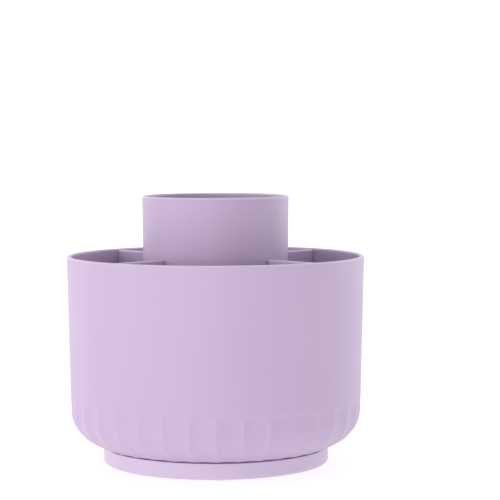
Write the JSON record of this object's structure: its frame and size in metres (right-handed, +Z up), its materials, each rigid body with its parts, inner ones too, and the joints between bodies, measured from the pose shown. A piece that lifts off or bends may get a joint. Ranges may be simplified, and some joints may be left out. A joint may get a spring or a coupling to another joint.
{
  "type": "rotating desk organizer",
  "caption": "Round desk organizer with a fluted tub, a raised centre cup and radial dividers, turning on a low base with a ball bearing.",
  "frame": {"origin": "on the turning axis, on the desk under the foot pads", "axes": "+Z up along the turning axis, -Y towards the front compartment, +X to the right"},
  "size_m": [0.128, 0.128, 0.116],
  "materials": {
    "lavender_shell": "satin moulded plastic, lavender",
    "white_plastic": "smooth bearing plastic, off-white",
    "bearing_steel": "polished bearing steel",
    "zinc_steel": "zinc-plated steel",
    "pad_rubber": "pale soft pad"
  },
  "bodies": {
    "base": {"base_dish": "lavender_shell", "pivot_bush": "white_plastic", "thrust_washer": "white_plastic", "pivot_cap": "lavender_shell", "foot_pad_front": "pad_rubber", "foot_pad_right": "pad_rubber", "foot_pad_back": "pad_rubber", "foot_pad_left": "pad_rubber"},
    "ball_cage": {"ball_retainer": "white_plastic", "bearing_balls": "bearing_steel"},
    "turntable": {"outer_tub": "lavender_shell", "centre_cup": "lavender_shell", "swivel_plate": "white_plastic", "swivel_screws": "zinc_steel", "pivot_screw": "zinc_steel", "pivot_washer": "zinc_steel", "divider_front_right": "lavender_shell", "divider_back_right": "lavender_shell", "divider_back_left": "lavender_shell", "divider_front_left": "lavender_shell"}
  },
  "joints": [
    {"name": "tub_spin", "type": "hinge", "parent": "base", "child": "turntable", "pos_m": [0, 0, 0], "axis": [0, 0, 1], "continuous": true},
    {"name": "cage_spin", "type": "hinge", "parent": "base", "child": "ball_cage", "pos_m": [0, 0, 0], "axis": [0, 0, 1], "continuous": true}
  ],
  "couplings": [
    {"joint": "cage_spin", "follows": "tub_spin", "ratio": 0.5}
  ]
}
